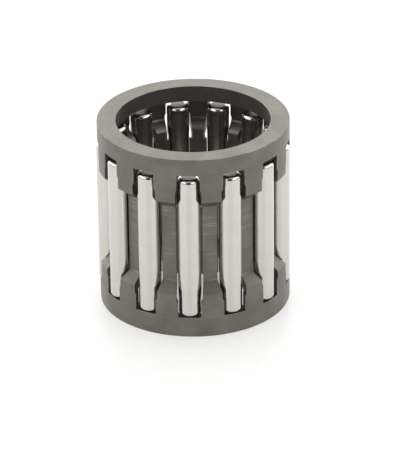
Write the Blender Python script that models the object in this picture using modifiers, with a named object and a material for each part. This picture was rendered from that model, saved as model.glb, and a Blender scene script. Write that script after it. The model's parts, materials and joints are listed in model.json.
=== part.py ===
"""Needle roller and cage assembly for a 16 mm journal in a 21 mm housing bore, 21 mm wide.

One turned and milled steel cage holds loose needle rollers in pockets. Metres, +Z along the
bearing axis, origin on the axis at mid width, first pocket on -Y.
"""

import math

import bmesh
import bpy

MM = 0.001

# The circles the rollers touch inside and outside, and how many rollers there are.
JOURNAL_D = 16.0 * MM
HOUSING_D = 21.0 * MM
ROLLER_COUNT = 13
FIRST_POCKET_ANGLE = math.radians(-90.0)

# Needle roller: ground cylinder with rounded end corners, standing on the lower pocket end.
ROLLER_R = (HOUSING_D - JOURNAL_D) / 4.0
ROLLER_LENGTH = 16.2 * MM
ROLLER_CORNER_R = 0.45 * MM
ROLLER_LOWER_END_Z = -8.16 * MM
PITCH_R = (HOUSING_D + JOURNAL_D) / 4.0

# Cage section, upper half; the lower half mirrors it.
CAGE_HALF_WIDTH = 10.5 * MM
CAGE_OUTER_R = 10.375 * MM
CAGE_INNER_R = 8.33 * MM
CAGE_EDGE_CHAMFER = 0.06 * MM
OUTER_SHOULDER_Z = 5.45 * MM
OUTER_GROOVE_R = 9.15 * MM
OUTER_GROOVE_HALF_WIDTH = 4.46 * MM
END_RING_INNER_Z = 8.7 * MM
RECESS_R = 9.65 * MM
RECESS_FILLET_R = 0.4 * MM
RECESS_FILLET_Z = 6.38 * MM
RECESS_FILLET_SWEEP = math.radians(58.5)
FLOOR_EDGE_R = 8.8 * MM
FLOOR_EDGE_Z = 5.64 * MM
LEAD_IN_R = 8.52 * MM
LEAD_IN_Z = 5.38 * MM
BAR_SHOULDER_Z = 5.05 * MM

# Pocket: a slot with a roller-shaped relief over its whole length, and a wider window between
# the outer lips near the ends. The window leaves two inner lips at mid length. The pockets sit a
# little above mid width.
POCKET_CENTRE_Z = 0.2 * MM
SLOT_HALF_WIDTH = 1.235 * MM
POCKET_HALF_LENGTH = 8.42 * MM
RELIEF_R = 1.36 * MM
WINDOW_HALF_WIDTH = 1.41 * MM
WINDOW_HALF_LENGTH = 6.75 * MM
WINDOW_CORNER_R = 0.45 * MM
INNER_LIP_HALF_LENGTH = 4.0 * MM
INNER_LIP_HALF_GAP = 1.11 * MM
WINDOW_FLOOR_R = 8.6 * MM
SLOT_STEP_R = 8.64 * MM
CUTTER_INNER_R = 7.4 * MM
CUTTER_OUTER_R = 11.4 * MM

# Facets: the cage's count is a multiple of the pocket count, so every pocket is alike.
CAGE_STEPS = 8 * ROLLER_COUNT
ROLLER_STEPS = 32
CORNER_STEPS = 3
RELIEF_STEPS = 5
FILLET_STEPS = 3
WINDOW_CORNER_STEPS = 3
MERGE_DISTANCE = 1e-7
SHARP_ANGLE = math.radians(30.0)
FLAT_ANGLE = math.radians(1.0)
UPRIGHT = math.radians(90.0)

# Finishes, as linear colours.
CAGE_COLOUR = (0.16, 0.155, 0.14)
CAGE_ROUGHNESS = 0.5
ROLLER_COLOUR = (0.78, 0.77, 0.75)
ROLLER_ROUGHNESS = 0.12


def clear_scene():
    for obj in list(bpy.data.objects):
        bpy.data.objects.remove(obj, do_unlink=True)


def new_collection(name, parent):
    collection = bpy.data.collections.new(name)
    parent.children.link(collection)
    return collection


def steel(name, colour, roughness):
    material = bpy.data.materials.new(name)
    material.use_nodes = True
    shader = material.node_tree.nodes["Principled BSDF"]
    shader.inputs["Base Color"].default_value = (*colour, 1.0)
    shader.inputs["Roughness"].default_value = roughness
    shader.inputs["Metallic"].default_value = 1.0
    material.diffuse_color = (*colour, 1.0)
    return material


def profile_mesh(name, points, closed):
    """Vertices and edges of a turned outline, each point a radius and a height."""
    count = len(points)
    last = count if closed else count - 1
    mesh = bpy.data.meshes.new(name)
    vertices = [(radius, 0.0, height) for radius, height in points]
    edges = [(i, (i + 1) % count) for i in range(last)]
    mesh.from_pydata(vertices, edges, [])
    return mesh


def turn(obj, steps):
    screw = obj.modifiers.new("Turn", "SCREW")
    screw.axis = "Z"
    screw.angle = math.tau
    screw.steps = steps
    screw.render_steps = steps
    screw.use_merge_vertices = True
    screw.merge_threshold = MERGE_DISTANCE


def cut(obj, name, cutters):
    boolean = obj.modifiers.new(name, "BOOLEAN")
    boolean.operation = "DIFFERENCE"
    boolean.solver = "EXACT"
    boolean.operand_type = "COLLECTION"
    boolean.collection = cutters


def finished_mesh(obj, name, material):
    """The object's mesh with its modifiers applied, smooth where round and sharp at corners."""
    graph = bpy.context.evaluated_depsgraph_get()
    mesh = bpy.data.meshes.new_from_object(obj.evaluated_get(graph))
    mesh.name = name
    mesh.materials.clear()
    mesh.materials.append(material)
    mesh.shade_smooth()
    mesh.set_sharp_from_angle(angle=SHARP_ANGLE)
    return mesh


def plate_mesh(name, outline, half_depth):
    """A closed flat plate: the outline in X and Y, half_depth deep each way along Z."""
    curve = bpy.data.curves.new(name, "CURVE")
    curve.dimensions = "2D"
    curve.fill_mode = "BOTH"
    curve.extrude = half_depth
    spline = curve.splines.new("POLY")
    spline.points.add(len(outline) - 1)
    for point, (x, y) in zip(spline.points, outline):
        point.co = (x, y, 0.0, 1.0)
    spline.use_cyclic_u = True
    blank = bpy.data.objects.new(name, curve)
    bpy.context.scene.collection.objects.link(blank)
    graph = bpy.context.evaluated_depsgraph_get()
    mesh = bpy.data.meshes.new_from_object(blank.evaluated_get(graph))
    bpy.data.objects.remove(blank, do_unlink=True)
    shape = bmesh.new()
    shape.from_mesh(mesh)
    bmesh.ops.remove_doubles(shape, verts=shape.verts, dist=MERGE_DISTANCE)
    bmesh.ops.dissolve_limit(
        shape, angle_limit=FLAT_ANGLE, verts=shape.verts, edges=shape.edges
    )
    bmesh.ops.recalc_face_normals(shape, faces=shape.faces)
    shape.to_mesh(mesh)
    shape.free()
    return mesh


def recess_fillet():
    """Hollow corner between the recess wall and its sloping floor, from the wall down."""
    centre_r = RECESS_R - RECESS_FILLET_R
    points = []
    for i in range(FILLET_STEPS + 1):
        angle = RECESS_FILLET_SWEEP * i / FILLET_STEPS
        radius = centre_r + RECESS_FILLET_R * math.cos(angle)
        points.append((radius, RECESS_FILLET_Z - RECESS_FILLET_R * math.sin(angle)))
    return points


def half_section():
    """Outer and inner outlines of the cage section above mid width, each from the top down."""
    chamfer = CAGE_EDGE_CHAMFER
    outer = [
        (CAGE_OUTER_R - chamfer, CAGE_HALF_WIDTH),
        (CAGE_OUTER_R, CAGE_HALF_WIDTH - chamfer),
        (CAGE_OUTER_R, OUTER_SHOULDER_Z),
        (OUTER_GROOVE_R, OUTER_GROOVE_HALF_WIDTH),
    ]
    inner = [
        (CAGE_INNER_R + chamfer, CAGE_HALF_WIDTH),
        (CAGE_INNER_R, CAGE_HALF_WIDTH - chamfer),
        (CAGE_INNER_R, END_RING_INNER_Z),
        (RECESS_R, END_RING_INNER_Z),
        *recess_fillet(),
        (FLOOR_EDGE_R, FLOOR_EDGE_Z),
        (LEAD_IN_R, LEAD_IN_Z),
        (CAGE_INNER_R, BAR_SHOULDER_Z),
    ]
    return outer, inner


def mirrored(points):
    return [(radius, -height) for radius, height in reversed(points)]


def cage_section():
    """The whole section as one loop, down the outside and up the inside."""
    outer, inner = half_section()
    down = outer + mirrored(outer)
    up = (inner + mirrored(inner))[::-1]
    return down + up


def slot_outline():
    """Radius and side offset of the slot: narrow between the inner lips, then as wide as the
    outer lips allow, with the relief bulging out about the roller axis.
    """
    reach = math.acos(SLOT_HALF_WIDTH / RELIEF_R)
    bulge = []
    for i in range(RELIEF_STEPS + 1):
        angle = -reach + 2.0 * reach * i / RELIEF_STEPS
        bulge.append((PITCH_R + RELIEF_R * math.sin(angle), RELIEF_R * math.cos(angle)))
    side = [
        (CUTTER_INNER_R, INNER_LIP_HALF_GAP),
        (SLOT_STEP_R, INNER_LIP_HALF_GAP),
        (SLOT_STEP_R, SLOT_HALF_WIDTH),
        *bulge,
        (CUTTER_OUTER_R, SLOT_HALF_WIDTH),
    ]
    return side + [(radius, -offset) for radius, offset in reversed(side)]


def window_outline():
    """Radius and height of the window, open to the bore beyond the inner lips."""
    upper = [
        (CUTTER_OUTER_R, WINDOW_HALF_LENGTH),
        (CUTTER_INNER_R, WINDOW_HALF_LENGTH),
        (CUTTER_INNER_R, INNER_LIP_HALF_LENGTH),
        (WINDOW_FLOOR_R, INNER_LIP_HALF_LENGTH),
    ]
    return upper + mirrored(upper)


def window_mesh():
    """The window plate, with round corners where its two ends meet its side walls."""
    mesh = plate_mesh("window", window_outline(), WINDOW_HALF_WIDTH)
    shape = bmesh.new()
    shape.from_mesh(mesh)
    corners = []
    for edge in shape.edges:
        start, end = (vertex.co for vertex in edge.verts)
        at_end = abs(abs(start.y + end.y) / 2.0 - WINDOW_HALF_LENGTH) < MERGE_DISTANCE
        if at_end and abs(start.z - end.z) < MERGE_DISTANCE:
            corners.append(edge)
    bmesh.ops.bevel(
        shape,
        geom=corners,
        offset=WINDOW_CORNER_R,
        segments=WINDOW_CORNER_STEPS,
        profile=0.5,
        affect="EDGES",
    )
    shape.to_mesh(mesh)
    shape.free()
    return mesh


def roller_outline():
    """Half section of a roller from its upper end on the axis to its lower end, centred."""
    half = ROLLER_LENGTH / 2.0
    corner_x = ROLLER_R - ROLLER_CORNER_R
    corner_z = half - ROLLER_CORNER_R
    upper = [(0.0, half)]
    for i in range(CORNER_STEPS + 1):
        angle = math.pi / 2.0 * (1.0 - i / CORNER_STEPS)
        radius = corner_x + ROLLER_CORNER_R * math.cos(angle)
        upper.append((radius, corner_z + ROLLER_CORNER_R * math.sin(angle)))
    return upper + mirrored(upper)


def pocket_angle(index):
    return FIRST_POCKET_ANGLE + math.tau * index / ROLLER_COUNT


def add_cutters(name, mesh, tilt, parent):
    """One cutter in every pocket, in its own collection, tilted about its own X axis."""
    collection = new_collection(name, parent)
    for i in range(ROLLER_COUNT):
        cutter = bpy.data.objects.new(f"{name}_{i + 1:02d}", mesh)
        cutter.location.z = POCKET_CENTRE_Z
        cutter.rotation_euler = (tilt, 0.0, pocket_angle(i))
        cutter.hide_render = True
        cutter.display_type = "WIRE"
        collection.objects.link(cutter)
    return collection


def add_cage(assembly, cutters):
    slot = plate_mesh("slot", slot_outline(), POCKET_HALF_LENGTH)
    window = window_mesh()
    slots = add_cutters("slot_cutter", slot, 0.0, cutters)
    windows = add_cutters("window_cutter", window, UPRIGHT, cutters)
    cage = bpy.data.objects.new("cage", profile_mesh("cage_section", cage_section(), True))
    assembly.objects.link(cage)
    turn(cage, CAGE_STEPS)
    cut(cage, "Pocket windows", windows)
    cut(cage, "Pocket slots", slots)
    material = steel("phosphated_steel", CAGE_COLOUR, CAGE_ROUGHNESS)
    mesh = finished_mesh(cage, "cage", material)
    cage.modifiers.clear()
    cage.data = mesh


def add_rollers(assembly):
    material = steel("polished_bearing_steel", ROLLER_COLOUR, ROLLER_ROUGHNESS)
    section = profile_mesh("roller_section", roller_outline(), False)
    blank = bpy.data.objects.new("roller_blank", section)
    assembly.objects.link(blank)
    turn(blank, ROLLER_STEPS)
    mesh = finished_mesh(blank, "needle_roller", material)
    bpy.data.objects.remove(blank, do_unlink=True)
    for i in range(ROLLER_COUNT):
        angle = pocket_angle(i)
        roller = bpy.data.objects.new(f"needle_roller_{i + 1:02d}", mesh)
        roller.location.x = PITCH_R * math.cos(angle)
        roller.location.y = PITCH_R * math.sin(angle)
        roller.location.z = ROLLER_LOWER_END_Z + ROLLER_LENGTH / 2.0
        roller.rotation_euler.z = angle
        assembly.objects.link(roller)


def main():
    clear_scene()
    scene_root = bpy.context.scene.collection
    assembly = new_collection("needle_roller_bearing", scene_root)
    cutters = new_collection("cutters", scene_root)
    add_cage(assembly, cutters)
    add_rollers(assembly)


main()
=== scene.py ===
"""Studio view of the needle roller and cage assembly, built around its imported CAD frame.

Metres, +Z along the bearing axis, origin on the axis at mid width, first roller on -Y.
"""

import json
import math
import random

import bmesh
import bpy
from mathutils import Matrix, Vector

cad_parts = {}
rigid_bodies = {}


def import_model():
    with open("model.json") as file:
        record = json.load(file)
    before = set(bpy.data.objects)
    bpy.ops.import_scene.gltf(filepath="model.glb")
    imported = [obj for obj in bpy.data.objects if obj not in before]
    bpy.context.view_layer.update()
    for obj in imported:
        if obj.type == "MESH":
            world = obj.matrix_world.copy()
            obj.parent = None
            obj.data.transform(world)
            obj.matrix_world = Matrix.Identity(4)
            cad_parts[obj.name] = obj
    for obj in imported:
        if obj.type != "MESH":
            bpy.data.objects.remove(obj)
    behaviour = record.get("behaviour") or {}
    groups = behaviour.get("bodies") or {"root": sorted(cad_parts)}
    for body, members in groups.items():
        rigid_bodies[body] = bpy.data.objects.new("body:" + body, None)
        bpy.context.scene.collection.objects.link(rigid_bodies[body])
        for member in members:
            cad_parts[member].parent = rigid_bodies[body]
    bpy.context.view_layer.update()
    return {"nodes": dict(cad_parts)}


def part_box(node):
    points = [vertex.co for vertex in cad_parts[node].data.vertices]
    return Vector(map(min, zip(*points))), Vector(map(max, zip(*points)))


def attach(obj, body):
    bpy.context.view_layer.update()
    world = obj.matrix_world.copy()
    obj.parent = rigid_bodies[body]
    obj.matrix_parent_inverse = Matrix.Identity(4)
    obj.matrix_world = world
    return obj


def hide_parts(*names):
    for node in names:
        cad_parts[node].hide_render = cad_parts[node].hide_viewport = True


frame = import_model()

MM = 0.001

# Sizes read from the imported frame.
CAGE_LOW, CAGE_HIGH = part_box("cage")
ROLLER_LOW, ROLLER_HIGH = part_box("needle_roller_01")
ROLLER_NODES = sorted(name for name in frame["nodes"] if name.startswith("needle_roller_"))
ROLLER_COUNT = len(ROLLER_NODES)
# Rounding an edge lifts its corners by a hair, so the cage stays this far inside its box.
EDGE_ALLOWANCE = 0.001 * MM
CAGE_OUTER_R = CAGE_HIGH.x - EDGE_ALLOWANCE
CAGE_HALF_WIDTH = CAGE_HIGH.z - EDGE_ALLOWANCE
PITCH_R = -(ROLLER_LOW.y + ROLLER_HIGH.y) / 2.0
ROLLER_MID_Z = (ROLLER_LOW.z + ROLLER_HIGH.z) / 2.0
ROLLER_HALF_LENGTH = (ROLLER_HIGH.z - ROLLER_LOW.z) / 2.0
FIRST_POCKET_ANGLE = math.radians(-90.0)

# A round roller bulges past the faceted one that it replaces, so it is ground this much smaller.
FACET_ALLOWANCE = 0.004 * MM
ROLLER_R = (ROLLER_HIGH.x - ROLLER_LOW.x) / 2.0 - FACET_ALLOWANCE
ROLLER_CORNER_R = 0.45 * MM
END_DISH = 0.01 * MM
END_RINGS = 6
END_NORMAL_Z = 0.998

# Cage section, upper half; the lower half mirrors it.
CAGE_INNER_R = 8.33 * MM
OUTER_SHOULDER_Z = 5.45 * MM
GROOVE_R = 9.15 * MM
GROOVE_HALF_WIDTH = 4.46 * MM
END_RING_INNER_Z = 8.7 * MM
RECESS_R = 9.65 * MM
RECESS_FILLET_R = 0.4 * MM
RECESS_FILLET_Z = 6.38 * MM
RECESS_FILLET_SWEEP = math.radians(58.5)
FLOOR_EDGE_R = 8.8 * MM
FLOOR_EDGE_Z = 5.64 * MM
LEAD_IN_R = 8.52 * MM
LEAD_IN_Z = 5.38 * MM
BAR_SHOULDER_Z = 5.05 * MM
FILLET_STEPS = 6

# Turning marks in the groove floor: fine ones all over, and some deeper scores. The upper, tilted-up
# face of a deeper score, where it reaches SCORE_MARKED of the score depth, is painted paler as a
# painted highlight.
MARK_SEED = 7
MARK_PITCH = 0.12 * MM
MARK_DEPTH = 0.004 * MM
SCORE_DEPTH = 0.016 * MM
SCORE_SHARE = 0.2
SCORE_MARKED = 0.45
# How much paler the painted highlight on a score's upper face is.
SCORE_HIGHLIGHT = 0.35
SCORE_NORMAL_Z = 0.03

# Pockets: a slot with a relief round the roller, and a wider window between the outer lips.
POCKET_CENTRE_Z = 0.2 * MM
SLOT_HALF_WIDTH = 1.235 * MM
POCKET_HALF_LENGTH = 8.42 * MM
RELIEF_R = 1.36 * MM
RELIEF_STEPS = 12
WINDOW_HALF_WIDTH = 1.41 * MM
WINDOW_HALF_LENGTH = 6.75 * MM
WINDOW_CORNER_R = 0.45 * MM
WINDOW_CORNER_STEPS = 6
INNER_LIP_HALF_LENGTH = 4.0 * MM
INNER_LIP_HALF_GAP = 1.11 * MM
WINDOW_FLOOR_R = 8.6 * MM
SLOT_STEP_R = 8.64 * MM
CUTTER_INNER_R = 7.4 * MM
CUTTER_OUTER_R = 11.4 * MM

CAGE_STEPS = 24 * ROLLER_COUNT
ROLLER_STEPS = 96
CORNER_STEPS = 8
MERGE_DISTANCE = 1e-7
WELD_DISTANCE = 0.03 * MM
# Points are put in order by their places, rounded to this step.
ORDER_STEP = 1e-4 * MM
EDGE_ROUND = 0.03 * MM
EDGE_SEGMENTS = 2
ROUND_PROFILE = 0.5
SHARP_ANGLE = math.radians(30.0)
SMOOTH_LIMIT = math.cos(math.radians(50.0))

# Rounded edges of the groove's sloping flanks, which get neither the rubbed colour nor the painted
# glint.
BLUNT_LOW_Z = 4.4 * MM
BLUNT_HIGH_Z = 5.5 * MM
BLUNT_NORMAL_Z = 0.1
BLUNT_WEAR_AND_GLINT = 0.0

# Noise stays mostly within this range.
NOISE_LOW = 0.3
NOISE_HIGH = 0.7

# Noise scales per metre: surface grain and clouds, and lathe lines across and along the turning.
CAGE_GRAIN_SCALE = 14000.0
CAGE_CLOUD_SCALE = 420.0
CAGE_LINES = (9000.0, 160.0)
ROLLER_CLOUD_SCALE = 650.0
ROLLER_LINES = (16000.0, 300.0)
FLOOR_GRAIN_SCALE = 900.0
LINE_ROUGHNESS = 0.6

# Phosphated cage: clouds and lathe lines share the tone, and the rounded edges are paler, partly rubbed
# wear and partly a painted glint.
CAGE_DARK = (0.140, 0.130, 0.107, 1.0)
CAGE_LIGHT = (0.186, 0.176, 0.149, 1.0)
CAGE_RUBBED_AND_GLINT = (0.42, 0.40, 0.36, 1.0)
CAGE_CLOUD_SHARE = 0.6
CAGE_LINE_SHARE = 0.4
CAGE_METALLIC = 0.8
CAGE_GLOSS = (0.38, 0.48)
CAGE_BUMP_STRENGTH = 0.35
CAGE_BUMP_DEPTH = 0.004 * MM
TONE_RANGE = (0.35, 0.65)
# The cloud range over which a rounded edge goes from faintly paler to fully paler, rubbed wear with a
# painted glint.
RUB_AND_GLINT_RANGE = (0.42, 0.58)
RUB_AND_GLINT_SHARE = (0.05, 0.7)

# Polished rollers with satin ground ends, their colour darkened as painted shade.
POLISH_DARK = (0.538, 0.515, 0.475, 1.0)
POLISH_LIGHT = (0.615, 0.588, 0.545, 1.0)
SATIN_SHADED_DARK = (0.15, 0.145, 0.13, 1.0)
SATIN_SHADED_LIGHT = (0.25, 0.24, 0.22, 1.0)
ROLLER_GLOSS = (0.10, 0.16)
SATIN_ROUGHNESS = 0.28
ROLLER_BUMP_STRENGTH = 0.2
ROLLER_BUMP_DEPTH = 0.001 * MM

# Camera: an orbit round the axis, then offsets across and up in its own frame.
CAMERA_AZIMUTH = math.radians(3.4)
CAMERA_ELEVATION = math.radians(26.97)
CAMERA_ROLL = math.radians(-0.704)
CAMERA_DISTANCE = 370.7 * MM
CAMERA_ACROSS = 0.63 * MM
CAMERA_UP = -3.09 * MM
CAMERA_LENS_MM = 261.9
CAMERA_SENSOR_MM = 36.0

# Light: a pale dome, dimmer overhead. On the camera side the dome starts above a dark horizon,
# and a soft dark patch marks the photographer.
SKY_COLOUR = (1.0, 0.995, 0.985, 1.0)
SKY_STRENGTH = 2.2
ZENITH_SHARE = 0.42
SKY_BREAK = 0.5
PATCH_CORE = 0.25
PATCH_RIM = 0.5
PATCH_LOW = 0.86
PATCH_HIGH = 0.97
PATCH_FRONT = 0.2
PATCH_SHARE = 0.05
BAND_LOW = 0.2
BAND_HIGH = 0.42
BAND_SHARE = 0.2
BAND_BACK = -0.6
BAND_FRONT = -0.2
FLOOR_DARK = (0.52, 0.52, 0.52, 1.0)
FLOOR_LIGHT = (0.56, 0.56, 0.56, 1.0)
WHITE = (1.0, 1.0, 1.0, 1.0)
FLOOR_GLOW = 0.42
FLOOR_ROUGHNESS = 0.35
FLOOR_SPECULAR = 0.3
FLOOR_RADIUS = 4.0
FLOOR_SIDES = 96


# Node helpers

def new_material(name):
    material = bpy.data.materials.new(name)
    material.use_nodes = True
    return material, material.node_tree, material.node_tree.nodes["Principled BSDF"]


def add_node(tree, kind, inputs=None, **settings):
    """A node with its properties set, and its inputs set to values or linked from sockets."""
    node = tree.nodes.new(kind)
    for key, value in settings.items():
        setattr(node, key, value)
    for key, value in (inputs or {}).items():
        if isinstance(value, bpy.types.NodeSocket):
            tree.links.new(value, node.inputs[key])
        else:
            node.inputs[key].default_value = value
    return node


def math_node(tree, operation, *values):
    inputs = dict(enumerate(values))
    return add_node(tree, "ShaderNodeMath", inputs, operation=operation).outputs[0]


def mix_colour(tree, factor, colour_a, colour_b):
    inputs = {0: factor, 6: colour_a, 7: colour_b}
    node = add_node(tree, "ShaderNodeMix", inputs, data_type="RGBA")
    return node.outputs[2]


def map_range(tree, value, low, high, to_low, to_high):
    inputs = {"Value": value, "From Min": low, "From Max": high, "To Min": to_low, "To Max": to_high}
    return add_node(tree, "ShaderNodeMapRange", inputs).outputs["Result"]


def soft_step(tree, value, low, high, to_low, to_high):
    inputs = {"Value": value, "From Min": low, "From Max": high, "To Min": to_low, "To Max": to_high}
    node = add_node(tree, "ShaderNodeMapRange", inputs, interpolation_type="SMOOTHSTEP")
    return node.outputs["Result"]


def dot_product(tree, vector, direction):
    inputs = {0: vector, 1: direction}
    return add_node(tree, "ShaderNodeVectorMath", inputs, operation="DOT_PRODUCT").outputs["Value"]


def noise(tree, vector, scale, detail, roughness=0.5):
    inputs = {"Vector": vector, "Scale": scale, "Detail": detail, "Roughness": roughness}
    return add_node(tree, "ShaderNodeTexNoise", inputs).outputs["Fac"]


def blend(tree, first, first_share, second, second_share):
    """The sum of two values, each times its share."""
    first_part = math_node(tree, "MULTIPLY", first, first_share)
    second_part = math_node(tree, "MULTIPLY", second, second_share)
    return math_node(tree, "ADD", first_part, second_part)


def add_bump(tree, shader, height, strength, depth):
    bump = add_node(tree, "ShaderNodeBump", {"Height": height, "Strength": strength, "Distance": depth})
    tree.links.new(bump.outputs["Normal"], shader.inputs["Normal"])


def lathe_coordinates(tree, fine, coarse):
    """Coordinates that change fast along the radius and the height, and slowly round the axis."""
    place = add_node(tree, "ShaderNodeTexCoord").outputs["Object"]
    parts = add_node(tree, "ShaderNodeSeparateXYZ", {"Vector": place}).outputs
    radius = math_node(tree, "SQRT", blend(tree, parts["X"], parts["X"], parts["Y"], parts["Y"]))
    across = math_node(tree, "MULTIPLY", math_node(tree, "ADD", radius, parts["Z"]), fine)
    inputs = {
        "X": math_node(tree, "MULTIPLY", parts["X"], coarse),
        "Y": math_node(tree, "MULTIPLY", parts["Y"], coarse),
        "Z": across,
    }
    return place, add_node(tree, "ShaderNodeCombineXYZ", inputs).outputs["Vector"]


# Materials

def cage_material():
    """Phosphated steel: matt warm grey, fine turned grain, edges a little brighter, partly rubbed wear
    and partly a painted glint.
    """
    material, tree, shader = new_material("phosphated_steel")
    place, turned = lathe_coordinates(tree, *CAGE_LINES)
    grain = noise(tree, place, CAGE_GRAIN_SCALE, 4.0)
    cloud = noise(tree, place, CAGE_CLOUD_SCALE, 3.0)
    lines = noise(tree, turned, 1.0, 3.0, LINE_ROUGHNESS)
    tone = blend(tree, cloud, CAGE_CLOUD_SHARE, lines, CAGE_LINE_SHARE)
    colour = mix_colour(tree, map_range(tree, tone, *TONE_RANGE, 0.0, 1.0), CAGE_DARK, CAGE_LIGHT)
    # Rounded edges painted paler: partly rubbed wear, partly a painted glint.
    worn_and_glinting = add_node(tree, "ShaderNodeAttribute", attribute_name="edge_wear_and_glint").outputs["Fac"]
    patchy_wear_and_glint = math_node(tree, "MULTIPLY", worn_and_glinting, map_range(tree, cloud, *RUB_AND_GLINT_RANGE, *RUB_AND_GLINT_SHARE))
    colour = mix_colour(tree, patchy_wear_and_glint, colour, CAGE_RUBBED_AND_GLINT)
    tree.links.new(colour, shader.inputs["Base Color"])
    gloss = map_range(tree, grain, NOISE_LOW, NOISE_HIGH, *CAGE_GLOSS)
    tree.links.new(gloss, shader.inputs["Roughness"])
    shader.inputs["Metallic"].default_value = CAGE_METALLIC
    add_bump(tree, shader, blend(tree, grain, 0.5, lines, 0.5), CAGE_BUMP_STRENGTH, CAGE_BUMP_DEPTH)
    return material


def roller_material():
    """Polished bearing steel with faint grinding lines, and satin ground end faces whose darker colour
    is painted shade.
    """
    material, tree, shader = new_material("polished_bearing_steel")
    place, turned = lathe_coordinates(tree, *ROLLER_LINES)
    spot = add_node(tree, "ShaderNodeObjectInfo").outputs["Location"]
    own = add_node(tree, "ShaderNodeVectorMath", {0: place, 1: spot}, operation="ADD").outputs[0]
    cloud = noise(tree, own, ROLLER_CLOUD_SCALE, 3.0)
    lines = noise(tree, turned, 1.0, 2.0, LINE_ROUGHNESS)
    ground_and_shaded = add_node(tree, "ShaderNodeAttribute", attribute_name="ground_shaded_end").outputs["Fac"]
    polish = mix_colour(tree, cloud, POLISH_DARK, POLISH_LIGHT)
    # The end faces' darker colour is painted shade; their rougher satin finish is real.
    satin_shaded = mix_colour(tree, lines, SATIN_SHADED_DARK, SATIN_SHADED_LIGHT)
    tree.links.new(mix_colour(tree, ground_and_shaded, polish, satin_shaded), shader.inputs["Base Color"])
    gloss = map_range(tree, lines, NOISE_LOW, NOISE_HIGH, *ROLLER_GLOSS)
    rough = math_node(tree, "ADD", gloss, math_node(tree, "MULTIPLY", ground_and_shaded, SATIN_ROUGHNESS))
    tree.links.new(rough, shader.inputs["Roughness"])
    shader.inputs["Metallic"].default_value = 1.0
    add_bump(tree, shader, lines, ROLLER_BUMP_STRENGTH, ROLLER_BUMP_DEPTH)
    return material


def floor_material():
    """Pale backlit sheet with a faint paper grain."""
    material, tree, shader = new_material("pale_floor")
    place = add_node(tree, "ShaderNodeTexCoord").outputs["Object"]
    grain = noise(tree, place, FLOOR_GRAIN_SCALE, 3.0)
    colour = mix_colour(tree, grain, FLOOR_DARK, FLOOR_LIGHT)
    tree.links.new(colour, shader.inputs["Base Color"])
    shader.inputs["Roughness"].default_value = FLOOR_ROUGHNESS
    shader.inputs["Specular IOR Level"].default_value = FLOOR_SPECULAR
    shader.inputs["Emission Color"].default_value = WHITE
    shader.inputs["Emission Strength"].default_value = FLOOR_GLOW
    return material


# Meshes

def new_object(name, mesh, material=None):
    obj = bpy.data.objects.new(name, mesh)
    bpy.context.scene.collection.objects.link(obj)
    if material:
        mesh.materials.clear()
        mesh.materials.append(material)
    return obj


def outline_mesh(name, points, closed):
    """Vertices and edges of a turned outline, each point a radius and a height."""
    count = len(points)
    last = count if closed else count - 1
    mesh = bpy.data.meshes.new(name)
    mesh.from_pydata(
        [(radius, 0.0, height) for radius, height in points],
        [(i, (i + 1) % count) for i in range(last)],
        [],
    )
    return mesh


def turn(obj, steps):
    screw = obj.modifiers.new("Turn", "SCREW")
    screw.axis = "Z"
    screw.angle = math.tau
    screw.steps = steps
    screw.render_steps = steps
    screw.use_merge_vertices = True
    screw.merge_threshold = MERGE_DISTANCE


def applied_mesh(obj, name):
    """The object's mesh with its modifiers applied; the object is removed."""
    graph = bpy.context.evaluated_depsgraph_get()
    mesh = bpy.data.meshes.new_from_object(obj.evaluated_get(graph))
    mesh.name = name
    bpy.data.objects.remove(obj, do_unlink=True)
    return mesh


def prism(name, outline, half_depth):
    """A closed plate: the outline in X and Y, half_depth deep each way along Z."""
    shape = bmesh.new()
    base = shape.faces.new([shape.verts.new((x, y, -half_depth)) for x, y in outline])
    made = bmesh.ops.extrude_face_region(shape, geom=[base])
    top = [item for item in made["geom"] if isinstance(item, bmesh.types.BMVert)]
    bmesh.ops.translate(shape, verts=top, vec=(0.0, 0.0, 2.0 * half_depth))
    bmesh.ops.recalc_face_normals(shape, faces=shape.faces)
    mesh = bpy.data.meshes.new(name)
    shape.to_mesh(mesh)
    shape.free()
    return mesh


def mirrored(points):
    return [(radius, -height) for radius, height in reversed(points)]


def groove_floor():
    """The groove floor from the top down, with shallow turning marks of uneven depth."""
    rng = random.Random(MARK_SEED)
    steps = 2 * round(GROOVE_HALF_WIDTH / MARK_PITCH)
    points = [(GROOVE_R, GROOVE_HALF_WIDTH)]
    for i in range(1, steps):
        height = GROOVE_HALF_WIDTH * (1.0 - 2.0 * i / steps)
        depth = MARK_DEPTH * rng.random() if i % 2 else 0.0
        if i % 2 and rng.random() < SCORE_SHARE:
            depth = SCORE_DEPTH * rng.uniform(0.5, 1.0)
        points.append((GROOVE_R - depth, height))
    points.append((GROOVE_R, -GROOVE_HALF_WIDTH))
    return points


def recess_fillet():
    """Hollow corner between the recess wall and its sloping floor, from the wall down."""
    centre_r = RECESS_R - RECESS_FILLET_R
    points = []
    for i in range(FILLET_STEPS + 1):
        angle = RECESS_FILLET_SWEEP * i / FILLET_STEPS
        radius = centre_r + RECESS_FILLET_R * math.cos(angle)
        points.append((radius, RECESS_FILLET_Z - RECESS_FILLET_R * math.sin(angle)))
    return points


def cage_section():
    """The whole section as one loop, down the outside and up the inside."""
    outer = [
        (CAGE_OUTER_R, CAGE_HALF_WIDTH),
        (CAGE_OUTER_R, OUTER_SHOULDER_Z),
    ]
    inner = [
        (CAGE_INNER_R, CAGE_HALF_WIDTH),
        (CAGE_INNER_R, END_RING_INNER_Z),
        (RECESS_R, END_RING_INNER_Z),
        *recess_fillet(),
        (FLOOR_EDGE_R, FLOOR_EDGE_Z),
        (LEAD_IN_R, LEAD_IN_Z),
        (CAGE_INNER_R, BAR_SHOULDER_Z),
    ]
    down = outer + groove_floor() + mirrored(outer)
    up = (inner + mirrored(inner))[::-1]
    return down + up


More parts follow.
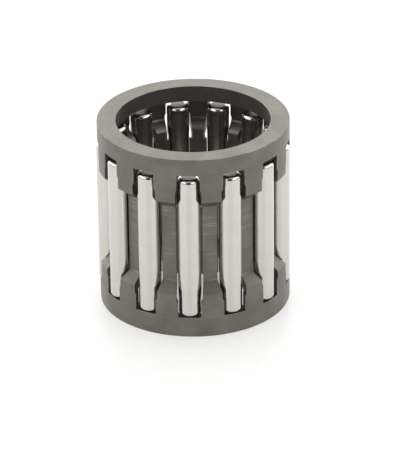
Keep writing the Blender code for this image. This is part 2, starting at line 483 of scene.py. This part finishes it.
def slot_outline():
    """Radius and side offset of the slot: narrow between the inner lips, then as wide as the
    outer lips allow, with the relief bulging out about the roller axis.
    """
    reach = math.acos(SLOT_HALF_WIDTH / RELIEF_R)
    bulge = []
    for i in range(RELIEF_STEPS + 1):
        angle = -reach + 2.0 * reach * i / RELIEF_STEPS
        bulge.append((PITCH_R + RELIEF_R * math.sin(angle), RELIEF_R * math.cos(angle)))
    side = [
        (CUTTER_INNER_R, INNER_LIP_HALF_GAP),
        (SLOT_STEP_R, INNER_LIP_HALF_GAP),
        (SLOT_STEP_R, SLOT_HALF_WIDTH),
        *bulge,
        (CUTTER_OUTER_R, SLOT_HALF_WIDTH),
    ]
    return side + [(radius, -offset) for radius, offset in reversed(side)]


def window_outline():
    """Radius and height of the window, open to the bore beyond the inner lips."""
    upper = [
        (CUTTER_OUTER_R, WINDOW_HALF_LENGTH),
        (CUTTER_INNER_R, WINDOW_HALF_LENGTH),
        (CUTTER_INNER_R, INNER_LIP_HALF_LENGTH),
        (WINDOW_FLOOR_R, INNER_LIP_HALF_LENGTH),
    ]
    return upper + mirrored(upper)


def window_prism():
    """The window cutter, with round corners where its two ends meet its side walls."""
    mesh = prism("window", window_outline(), WINDOW_HALF_WIDTH)
    shape = bmesh.new()
    shape.from_mesh(mesh)
    corners = []
    for edge in shape.edges:
        start, end = (vertex.co for vertex in edge.verts)
        at_end = abs(abs(start.y + end.y) / 2.0 - WINDOW_HALF_LENGTH) < MERGE_DISTANCE
        if at_end and abs(start.z - end.z) < MERGE_DISTANCE:
            corners.append(edge)
    bmesh.ops.bevel(
        shape, geom=corners, offset=WINDOW_CORNER_R, segments=WINDOW_CORNER_STEPS,
        profile=ROUND_PROFILE, affect="EDGES",
    )
    shape.to_mesh(mesh)
    shape.free()
    return mesh


def pocket_angle(index):
    return FIRST_POCKET_ANGLE + math.tau * index / ROLLER_COUNT


def cut_pockets(obj, name, mesh, tilt):
    collection = bpy.data.collections.new(name)
    bpy.context.scene.collection.children.link(collection)
    for i in range(ROLLER_COUNT):
        cutter = bpy.data.objects.new(f"{name}_{i + 1:02d}", mesh)
        cutter.location.z = POCKET_CENTRE_Z
        cutter.rotation_euler = (tilt, 0.0, pocket_angle(i))
        collection.objects.link(cutter)
    boolean = obj.modifiers.new(name, "BOOLEAN")
    boolean.operation = "DIFFERENCE"
    boolean.solver = "EXACT"
    boolean.operand_type = "COLLECTION"
    boolean.collection = collection
    return collection


def shade(mesh):
    """Smooth shading in which a large face outweighs the small rounded ones beside it."""
    mesh.shade_smooth()
    around = [[] for _ in mesh.vertices]
    pull = []
    for face in mesh.polygons:
        pull.append(face.normal * (face.area / MM ** 2))
        for vertex in face.vertices:
            around[vertex].append(face.index)
    corners = []
    for face in mesh.polygons:
        for vertex in face.vertices:
            total = Vector()
            for other in around[vertex]:
                if face.normal.dot(mesh.polygons[other].normal) > SMOOTH_LIMIT:
                    total += pull[other]
            corners.append(total.normalized())
    mesh.normals_split_custom_set(corners)


def gets_score_highlight(face):
    """Whether a face is the tilted-up face of one of the deeper turning scores of the groove floor,
    which gets a painted highlight.
    """
    if min(vertex.co.xy.length for vertex in face.verts) > GROOVE_R - SCORE_DEPTH * SCORE_MARKED:
        return False
    highest = max(abs(vertex.co.z) for vertex in face.verts)
    outward = face.normal.x * face.verts[0].co.x + face.normal.y * face.verts[0].co.y > 0.0
    tilted_up = face.normal.z > SCORE_NORMAL_Z
    on_bar = face.calc_center_median().xy.length > (GROOVE_R + CAGE_INNER_R) / 2.0
    return outward and tilted_up and on_bar and highest < GROOVE_HALF_WIDTH


def ordered_shape(mesh):
    """The mesh with its points and faces in a fixed order. The cuts leave them in any order, and
    what welds to what depends on it.
    """
    places = [tuple(round(value / ORDER_STEP) for value in vertex.co) for vertex in mesh.vertices]
    order = sorted(range(len(places)), key=lambda index: places[index])
    rank = {index: place for place, index in enumerate(order)}
    loops = []
    for face in mesh.polygons:
        loop = [rank[index] for index in face.vertices]
        start = loop.index(min(loop))
        loops.append(loop[start:] + loop[:start])
    shape = bmesh.new()
    points = [shape.verts.new(mesh.vertices[index].co) for index in order]
    for loop in sorted(loops):
        shape.faces.new([points[index] for index in loop])
    return shape


def round_edges(mesh):
    """Rounds every sharp outer edge a little, and marks the faces painted paler: rounded edges for
    rubbed wear with a painted glint, score faces for a painted highlight.
    """
    shape = ordered_shape(mesh)
    bmesh.ops.remove_doubles(shape, verts=shape.verts, dist=WELD_DISTANCE)
    bmesh.ops.dissolve_degenerate(shape, edges=shape.edges, dist=WELD_DISTANCE / 2.0)
    wear_and_glint = shape.faces.layers.float.new("edge_wear_and_glint")
    for face in shape.faces:
        # Tilted-up faces of the deeper scores are painted paler: a painted highlight.
        face[wear_and_glint] = SCORE_HIGHLIGHT if gets_score_highlight(face) else 0.0
    sharp = [
        edge for edge in shape.edges
        if edge.is_manifold and edge.is_convex and edge.calc_face_angle() > SHARP_ANGLE
    ]
    made = bmesh.ops.bevel(
        shape, geom=sharp, offset=EDGE_ROUND, segments=EDGE_SEGMENTS, profile=ROUND_PROFILE,
        affect="EDGES",
    )
    # Rounded edges get the paler colour, partly rubbed wear and partly a painted glint.
    for face in made["faces"]:
        height = abs(face.calc_center_median().z)
        blunt = BLUNT_LOW_Z < height < BLUNT_HIGH_Z and abs(face.normal.z) > BLUNT_NORMAL_Z
        face[wear_and_glint] = BLUNT_WEAR_AND_GLINT if blunt else 1.0
    shape.to_mesh(mesh)
    shape.free()


def cage_mesh():
    blank = new_object("cage_blank", outline_mesh("cage_section", cage_section(), True))
    turn(blank, CAGE_STEPS)
    window = window_prism()
    slot = prism("slot", slot_outline(), POCKET_HALF_LENGTH)
    windows = cut_pockets(blank, "window_cutter", window, math.radians(90.0))
    slots = cut_pockets(blank, "slot_cutter", slot, 0.0)
    mesh = applied_mesh(blank, "cage_body")
    for collection in (windows, slots):
        for cutter in list(collection.objects):
            bpy.data.objects.remove(cutter, do_unlink=True)
        bpy.data.collections.remove(collection)
    round_edges(mesh)
    shade(mesh)
    return mesh


def roller_outline():
    """Half section from the upper end on the axis to the lower end, centred."""
    corner_x = ROLLER_R - ROLLER_CORNER_R
    corner_z = ROLLER_HALF_LENGTH - ROLLER_CORNER_R
    upper = [(0.0, ROLLER_HALF_LENGTH - END_DISH)]
    for i in range(1, END_RINGS):
        share = i / END_RINGS
        upper.append((corner_x * share, ROLLER_HALF_LENGTH - END_DISH * (1.0 - share * share)))
    for i in range(CORNER_STEPS + 1):
        angle = math.pi / 2.0 * (1.0 - i / CORNER_STEPS)
        radius = corner_x + ROLLER_CORNER_R * math.cos(angle)
        upper.append((radius, corner_z + ROLLER_CORNER_R * math.sin(angle)))
    return upper + mirrored(upper)


def roller_mesh():
    blank = new_object("roller_blank", outline_mesh("roller_section", roller_outline(), False))
    turn(blank, ROLLER_STEPS)
    mesh = applied_mesh(blank, "roller_body")
    # End faces: satin ground finish, with a darker colour as painted shade.
    ground_and_shaded = mesh.attributes.new("ground_shaded_end", "FLOAT", "FACE")
    for face in mesh.polygons:
        ground_and_shaded.data[face.index].value = float(abs(face.normal.z) > END_NORMAL_Z)
    shade(mesh)
    return mesh


# Pieces

def add_cage():
    piece = new_object("cage_visual", cage_mesh(), cage_material())
    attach(piece, "cage_body")
    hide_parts("cage")


def add_rollers():
    mesh = roller_mesh()
    material = roller_material()
    for i, node in enumerate(ROLLER_NODES):
        angle = pocket_angle(i)
        piece = new_object(f"{node}_visual", mesh, material)
        piece.location = (PITCH_R * math.cos(angle), PITCH_R * math.sin(angle), ROLLER_MID_Z)
        bpy.context.view_layer.update()
        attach(piece, f"roller_{i + 1:02d}")
        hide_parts(node)


def add_floor():
    shape = bmesh.new()
    bmesh.ops.create_circle(shape, cap_ends=True, radius=FLOOR_RADIUS, segments=FLOOR_SIDES)
    mesh = bpy.data.meshes.new("studio_floor")
    shape.to_mesh(mesh)
    shape.free()
    floor = new_object("studio_floor", mesh, floor_material())
    floor.location.z = CAGE_LOW.z


def add_world():
    world = bpy.data.worlds.new("studio_light")
    world.use_nodes = True
    tree = world.node_tree
    direction = add_node(tree, "ShaderNodeTexCoord").outputs["Generated"]
    height = add_node(tree, "ShaderNodeSeparateXYZ", {"Vector": direction}).outputs["Z"]
    dome = map_range(tree, height, SKY_BREAK, 1.0, 1.0, ZENITH_SHARE)
    towards = (math.sin(CAMERA_AZIMUTH), -math.cos(CAMERA_AZIMUTH), 0.0)
    sideways = (math.cos(CAMERA_AZIMUTH), math.sin(CAMERA_AZIMUTH), 0.0)
    facing = dot_product(tree, direction, towards)
    side = math_node(tree, "ABSOLUTE", dot_product(tree, direction, sideways))
    front = map_range(tree, facing, BAND_BACK, BAND_FRONT, 1.0, BAND_SHARE)
    band = soft_step(tree, height, BAND_LOW, BAND_HIGH, front, 1.0)
    standing = map_range(tree, facing, 0.0, PATCH_FRONT, 1.0, PATCH_SHARE)
    edge = soft_step(tree, side, PATCH_CORE, PATCH_RIM, standing, 1.0)
    patch = soft_step(tree, height, PATCH_LOW, PATCH_HIGH, edge, 1.0)
    shade = math_node(tree, "MULTIPLY", band, patch)
    strength = math_node(tree, "MULTIPLY", math_node(tree, "MULTIPLY", dome, shade), SKY_STRENGTH)
    backdrop = tree.nodes["Background"]
    backdrop.inputs["Color"].default_value = SKY_COLOUR
    tree.links.new(strength, backdrop.inputs["Strength"])
    bpy.context.scene.world = world
    bpy.context.scene.view_settings.view_transform = "Standard"


def add_camera():
    data = bpy.data.cameras.new("camera")
    data.lens = CAMERA_LENS_MM
    data.sensor_width = CAMERA_SENSOR_MM
    camera = bpy.data.objects.new("camera", data)
    bpy.context.scene.collection.objects.link(camera)
    camera.matrix_world = (
        Matrix.Rotation(CAMERA_AZIMUTH, 4, "Z")
        @ Matrix.Rotation(math.radians(90.0) - CAMERA_ELEVATION, 4, "X")
        @ Matrix.Rotation(CAMERA_ROLL, 4, "Z")
        @ Matrix.Translation(Vector((CAMERA_ACROSS, CAMERA_UP, CAMERA_DISTANCE)))
    )
    data.clip_start = CAMERA_DISTANCE / 100.0
    data.clip_end = 2.0 * FLOOR_RADIUS
    bpy.context.scene.camera = camera


def main():
    add_camera()
    add_cage()
    add_rollers()
    add_floor()
    add_world()


main()
